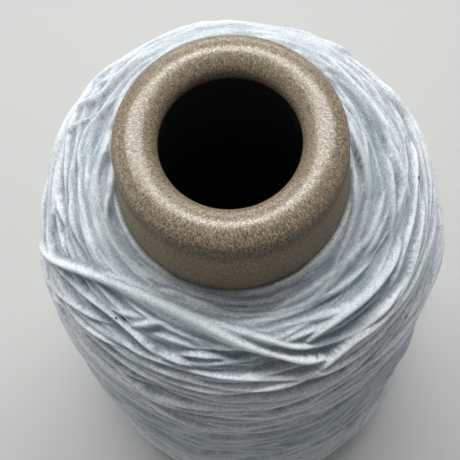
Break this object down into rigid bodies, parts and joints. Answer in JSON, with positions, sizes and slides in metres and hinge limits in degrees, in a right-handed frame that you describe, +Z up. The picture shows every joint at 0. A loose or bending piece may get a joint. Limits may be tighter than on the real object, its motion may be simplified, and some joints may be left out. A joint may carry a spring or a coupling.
{
  "type": "cone of yarn",
  "caption": "Cone of soft slub yarn, cross-wound on a tapered paperboard cone with a rolled, holed nose, standing on its base rim.",
  "frame": {"origin": "centre of the paper cone's base rim, on the surface the cone stands on", "axes": "+Z up along the cone's axis, from the base to the nose; +X to the right and +Y away, as the picture's viewer stands"},
  "size_m": [0.1048, 0.1051, 0.17],
  "materials": {
    "paperboard": "satin",
    "yarn": "matte"
  },
  "bodies": {
    "root": {"paper_cone": "paperboard", "wound_yarn": "yarn"}
  },
  "joints": []
}
